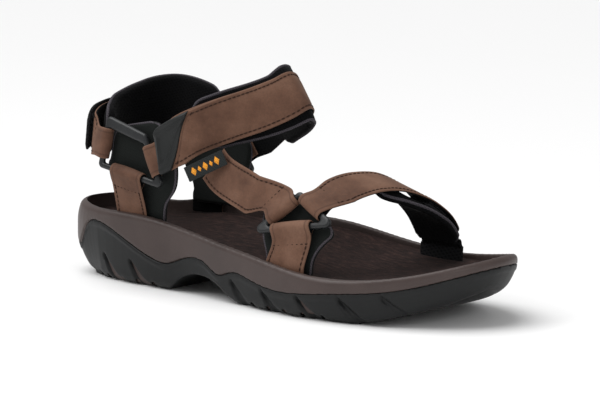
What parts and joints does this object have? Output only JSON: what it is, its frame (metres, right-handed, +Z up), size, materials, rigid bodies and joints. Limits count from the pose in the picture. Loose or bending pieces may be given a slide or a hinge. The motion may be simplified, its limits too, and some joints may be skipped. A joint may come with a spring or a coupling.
{
  "type": "sport sandal",
  "caption": "Strappy sport sandal with a cupped footbed, treaded outsole and padded ankle, instep and toe straps that close with hook-and-loop.",
  "frame": {"origin": "on the ground under the middle of the bounding box", "axes": "+X to the toe, -Y to the lateral (outer) side, +Z up"},
  "size_m": [0.2996, 0.11, 0.1321],
  "materials": {
    "outsole_rubber": "moulded matt rubber",
    "midsole_foam": "satin moulded foam",
    "footbed_fabric": "brushed microfibre",
    "shank_nylon": "moulded nylon",
    "shock_pad": "soft foam",
    "ring_plastic": "moulded satin plastic",
    "leather": "oiled nubuck",
    "black_webbing": "woven webbing",
    "lining": "padded knit lining",
    "backer_lining": "padded knit lining",
    "tab_rubber": "moulded matt rubber",
    "hook_and_loop": "hook-and-loop tape",
    "label_weave": "woven label"
  },
  "bodies": {
    "sandal": {"outsole": "outsole_rubber", "midsole": "midsole_foam", "footbed": "footbed_fabric", "shank": "shank_nylon", "heel_shock_pad": "shock_pad", "front_ring": "ring_plastic", "front_lateral_anchor": "leather", "front_lateral_backer": "backer_lining", "connector_strap": "leather", "side_label": "label_weave", "toe_strap": "leather", "toe_hook_patch": "hook_and_loop", "medial_toe_anchor": "black_webbing", "toe_pad": "lining", "rear_lateral_ring": "ring_plastic", "rear_lateral_anchor": "leather", "rear_lateral_backer": "backer_lining", "rear_medial_ring": "ring_plastic", "rear_medial_anchor": "leather", "rear_medial_backer": "backer_lining", "instep_strap": "leather", "instep_base_strap": "leather", "instep_loop_patch": "hook_and_loop", "instep_pad": "lining", "heel_strap_lateral": "leather", "heel_hook_patch": "hook_and_loop", "heel_strap_medial": "black_webbing", "heel_collar": "lining"},
    "toe_flap": {"toe_strap_flap": "leather", "toe_loop_patch": "hook_and_loop"},
    "instep_flap": {"instep_strap_flap": "leather", "instep_pull_tab": "tab_rubber", "instep_hook_patch": "hook_and_loop"},
    "heel_flap": {"heel_strap_flap": "black_webbing", "heel_loop_patch": "hook_and_loop"}
  },
  "joints": [
    {"name": "toe_flap_peel", "type": "hinge", "parent": "sandal", "child": "toe_flap", "pos_m": [0.0742, 0.01618, 0.06861], "axis": [0.9052, -0.383, -0.1845], "range_deg": [0, 95]},
    {"name": "instep_flap_peel", "type": "hinge", "parent": "sandal", "child": "instep_flap", "pos_m": [0.01047, -0.00028, 0.11897], "axis": [-0.6458, -0.0836, 0.7589], "range_deg": [0, 100]},
    {"name": "heel_flap_peel", "type": "hinge", "parent": "sandal", "child": "heel_flap", "pos_m": [-0.13008, 0.00289, 0.09308], "axis": [-0.2346, -0.049, -0.9709], "range_deg": [0, 90]}
  ]
}
